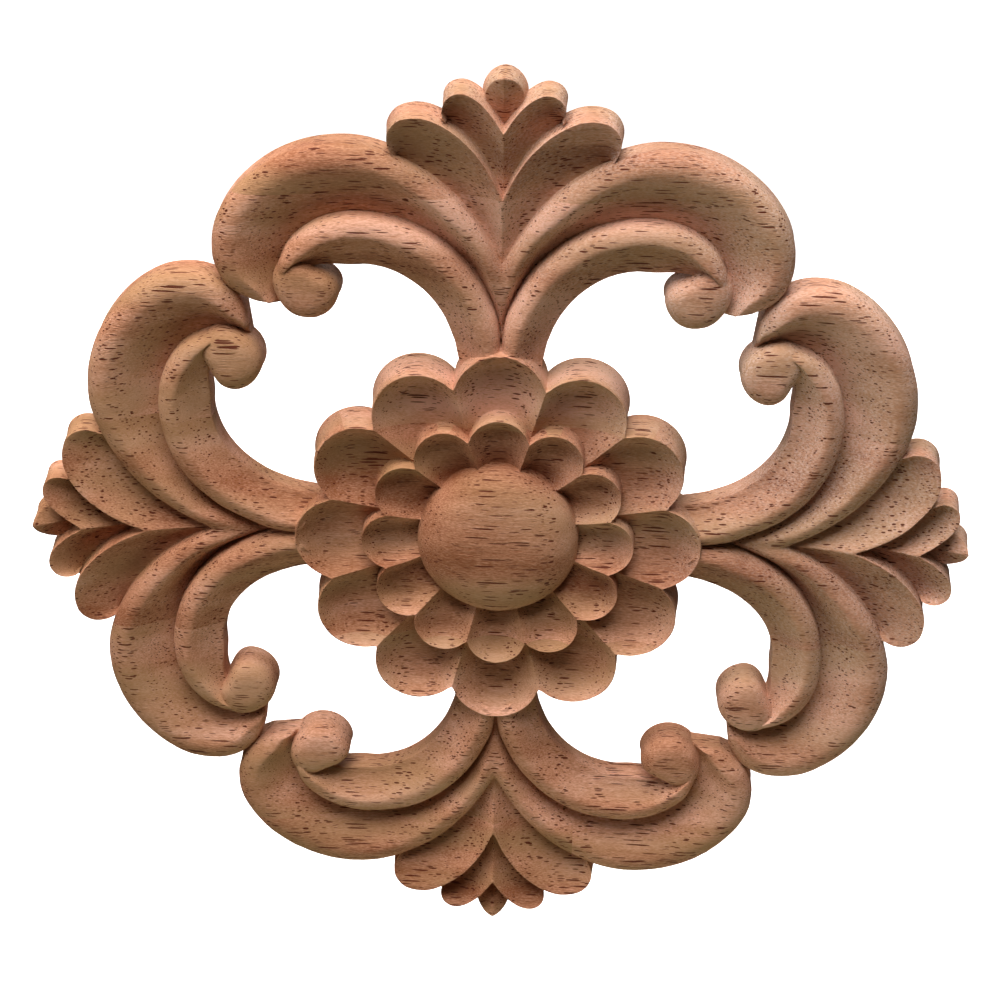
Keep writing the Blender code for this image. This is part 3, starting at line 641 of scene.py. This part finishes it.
def rubberwoodMaterial(wood):
    # the tone, bands + fibres + specks + strip, runs from the dark to the pale wood; over it come the
    # olive patches, then the fuzz, then the open vessels
    material = bpy.data.materials.new("rubberwood_bare_sanded")
    material.use_nodes = True
    tree = material.node_tree
    tree.nodes.clear()
    add = functools.partial(addNode, tree)

    # joints: each strip has its own stretch of grain, and so has each finger
    place = add("TexCoord").outputs["Object"]
    x, _, z = add("SeparateXYZ", place).outputs
    strip = add("Math", z, 1 / (wood["strip"] * mm), 0.5 - wood["stripMiddle"] / wood["strip"],
                operation="MULTIPLY_ADD").outputs[0]
    strip = add("Math", strip, operation="FLOOR").outputs[0]
    inFinger = 0.0
    for left, right, low, high in wood["fingers"]:
        within = []
        for axis, start, end in ((x, left, right), (z, low, high)):
            fromMiddle = add("Math", axis, (start + end) / 2 * mm, operation="SUBTRACT").outputs[0]
            fromMiddle = add("Math", fromMiddle, operation="ABSOLUTE").outputs[0]
            within.append(add("Math", fromMiddle, (end - start) / 2 * mm, operation="LESS_THAN").outputs[0])
        inFinger = add("Math", *within, inFinger, operation="MULTIPLY_ADD").outputs[0]
    piece = add("Math", inFinger, wood["fingerPieces"], strip, operation="MULTIPLY_ADD").outputs[0]
    shift = [add("Math", piece, step * mm, operation="MULTIPLY").outputs[0] for step in wood["nextPiece"]]
    shift = add("CombineXYZ", *shift).outputs[0]
    grainPlace = add("VectorMath", place, shift, operation="ADD").outputs[0]
    stripTone = add("Math", piece, math.pi, operation="MULTIPLY").outputs[0]
    stripTone = add("Math", stripTone, operation="COSINE").outputs[0]
    stripTone = add("Math", stripTone, wood["stripTone"], operation="MULTIPLY").outputs[0]
    stripTone = add("Math", inFinger, wood["fingerTone"], stripTone, operation="MULTIPLY_ADD").outputs[0]

    # patterns, stretched along the grain
    patterns = {}
    for name, (along, across, detail, roughness) in wood["patterns"].items():
        perMetre = (1 / (along * mm), 1 / (across * mm), 1 / (across * mm))
        stretched = add("VectorMath", grainPlace, perMetre, operation="MULTIPLY").outputs[0]
        patterns[name] = add("TexNoise", stretched, sockets={"Scale": 1.0, "Detail": detail,
                                                            "Roughness": roughness}).outputs
    bands, fibres, specks = (patterns[name]["Fac"] for name in ("bands", "fibres", "specks"))
    tone = add("Math", bands, stripTone, operation="ADD").outputs[0]
    for pattern, reach in ((fibres, wood["fibreTone"]), (specks, wood["speckTone"])):
        around = add("Math", pattern, reach, -reach / 2, operation="MULTIPLY_ADD").outputs[0]
        tone = add("Math", tone, around, operation="ADD").outputs[0]
    ramp = add("ValToRGB", tone)
    stops = ramp.color_ramp.elements
    stops.new(wood["tones"][1])
    for stop, position, name in zip(stops, wood["tones"], ("dark", "middle", "pale")):
        stop.position = position
        stop.color = linear(wood[name])
    olive = add("MapRange", patterns["patches"]["Fac"], *wood["oliveFrom"], 0.0, wood["oliveMost"],
                clamp=True).outputs[0]
    ground = add("Mix", olive, sockets={6: ramp.outputs["Color"], 7: linear(wood["olive"])},
                 data_type="RGBA").outputs[2]

    # how far the surface rises or falls along the grain
    normal = add("NewGeometry").outputs["Normal"]
    slope = add("Math", add("SeparateXYZ", normal).outputs[0], operation="ABSOLUTE").outputs[0]
    slope = add("MapRange", slope, *wood["slopes"], *wood["slopeShares"], clamp=True).outputs[0]

    # vessels: long thin cells round scattered points; only some are open, they come in groups, and
    # they are narrow where the grain ends at the surface
    bend = (0.0, wood["vesselBend"], wood["vesselBend"])
    bend = add("VectorMath", patterns["bend"]["Color"], bend, operation="MULTIPLY").outputs[0]
    groups = add("MapRange", patterns["groups"]["Fac"], *wood["groupFrom"], *wood["groupChance"],
                 clamp=True).outputs[0]
    openVessels = 0.0
    for along, across, share, half, strength in wood["vessels"]:
        perMetre = (1 / (along * mm), 1 / (across * mm), 1 / (across * mm))
        stretched = add("VectorMath", grainPlace, perMetre, operation="MULTIPLY").outputs[0]
        bent = add("VectorMath", bend, stretched, operation="ADD").outputs[0]
        cells = add("TexVoronoi", bent, sockets={"Scale": 1.0, "Randomness": 1.0}, feature="F1").outputs
        chance = add("SeparateColor", cells["Color"]).outputs[0]
        chosen = add("Math", chance, groups, share - 1.0, operation="MULTIPLY_ADD").outputs[0]
        chosen = add("Math", chosen, 1 / share, operation="MULTIPLY", use_clamp=True).outputs[0]
        size = add("Math", chosen, 0.5, operation="POWER").outputs[0]
        width = add("Math", slope, -wood["lessOnSlopes"] * half, wood["vesselSize"] * half,
                    operation="MULTIPLY_ADD").outputs[0]
        size = add("Math", size, width, operation="MULTIPLY").outputs[0]
        inside = add("Math", size, cells["Distance"], operation="SUBTRACT").outputs[0]
        shown = add("MapRange", inside, 0.0, wood["vesselRim"], 0.0, strength, clamp=True).outputs[0]
        openVessels = add("Math", openVessels, shown, operation="MAXIMUM").outputs[0]

    # torn fibres: pale fuzz that the cutter left up and right of the middle, mostly on slopes
    upRight = add("Math", z, wood["fuzzRise"], x, operation="MULTIPLY_ADD").outputs[0]
    upRight = add("MapRange", upRight, *(edge * mm for edge in wood["fuzzFrom"]), 0.0, 1.0,
                  clamp=True).outputs[0]
    perMetre = tuple(1 / (size * mm) for size in wood["tufts"])
    tufts = add("VectorMath", place, perMetre, operation="MULTIPLY").outputs[0]
    tufts = add("TexNoise", tufts, sockets={"Scale": 1.0, "Detail": 2.0}).outputs["Fac"]
    tufts = add("MapRange", tufts, *wood["tuftFrom"], *wood["tuftShares"], clamp=True).outputs[0]
    fuzz = add("Math", upRight, slope, operation="MULTIPLY").outputs[0]
    fuzz = add("Math", fuzz, tufts, operation="MULTIPLY").outputs[0]
    fuzzy = add("Mix", fuzz, sockets={6: ground, 7: linear(wood["fuzz"])}, data_type="RGBA").outputs[2]
    colour = add("Mix", openVessels, sockets={6: fuzzy, 7: linear(wood["vessel"])},
                 data_type="RGBA").outputs[2]

    relief = 0.0
    for pattern, weight in zip((openVessels, specks, fibres), wood["bumpWeights"]):
        relief = add("Math", pattern, weight, relief, operation="MULTIPLY_ADD").outputs[0]
    bump = add("Bump", sockets={"Strength": wood["bumpStrength"], "Distance": wood["bumpDepth"] * mm,
                                "Height": relief}).outputs[0]
    shader = add("BsdfPrincipled", sockets={
        "Base Color": colour, "Roughness": wood["roughness"], "IOR": wood["ior"],
        "Specular IOR Level": wood["sheen"], "Normal": bump}).outputs[0]
    add("OutputMaterial", shader)
    return material


# Studio

studio = {
    "floorDrop": 0.32,            # floor below the middle of the piece; all in metres
    "backdrop": 7.0,              # radius of the round white backdrop
    "segments": 64,
    "paper": "#F4F4F4", "paperRoughness": 0.9, "paperGlow": 1.0,
    "world": 0.052, "worldColour": "#FFF2DC",
    "lamps": {                    # watts, width and place of each round lamp, and its colour
        "top": (19.2, 0.9, (-0.12, -0.24, 0.965), "#FFF5F0"),
        "left": (1.9, 0.5, (-0.88, -0.26, 0.38), "#FFF8F0"),
        "behind": (5.0, 0.8, (0.0, 1.0, 0.12), "#FFF6F0"),
        "below": (0.95, 0.4, (0.03, -0.12, -0.46), "#FAF8D2"),
    },
}


def addStudio(look):
    # each lamp faces the middle of the piece; floor and backdrop show only to the camera
    world = bpy.data.worlds.new("studio")
    bpy.context.scene.world = world
    world.use_nodes = True
    background = world.node_tree.nodes["Background"]
    background.inputs["Color"].default_value = linear(look["worldColour"])
    background.inputs["Strength"].default_value = look["world"]
    for name, (power, size, place, colour) in look["lamps"].items():
        data = bpy.data.lights.new(name, "AREA")
        data.shape = "DISK"
        data.size = size
        data.energy = power
        data.color = linear(colour)[:3]
        lamp = bpy.data.objects.new(name, data)
        lamp.location = place
        lamp.rotation_euler = (-Vector(place)).to_track_quat("-Z", "Y").to_euler()
        bpy.context.scene.collection.objects.link(lamp)
    paper = bpy.data.materials.new("white_paper")
    paper.use_nodes = True
    coat = paper.node_tree.nodes["Principled BSDF"]
    coat.inputs["Base Color"].default_value = linear(look["paper"])
    coat.inputs["Roughness"].default_value = look["paperRoughness"]
    coat.inputs["Emission Color"].default_value = (1.0, 1.0, 1.0, 1.0)
    coat.inputs["Emission Strength"].default_value = look["paperGlow"]
    bpy.ops.mesh.primitive_plane_add(size=2 * look["backdrop"], location=(0, 0, -look["floorDrop"]))
    floor = bpy.context.object
    floor.name = "floor"
    bpy.ops.mesh.primitive_uv_sphere_add(segments=look["segments"], ring_count=look["segments"] // 2,
                                         radius=look["backdrop"])
    backdrop = bpy.context.object
    backdrop.name = "backdrop"
    for item in (floor, backdrop):
        item.data.materials.append(paper)
        item.visible_diffuse = False
        item.visible_glossy = False
        item.visible_shadow = False
    bpy.context.scene.view_settings.view_transform = "Standard"


addCamera(cameraLook)
print("camera placed")
applique = carveApplique()
print("carved:", sum(len(face.vertices) - 2 for face in applique.data.polygons), "triangles")
applique.data.materials.clear()
applique.data.materials.append(rubberwoodMaterial(rubberwood))
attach(applique, "root")
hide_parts("carved_applique")
addStudio(studio)
print("studio lit")
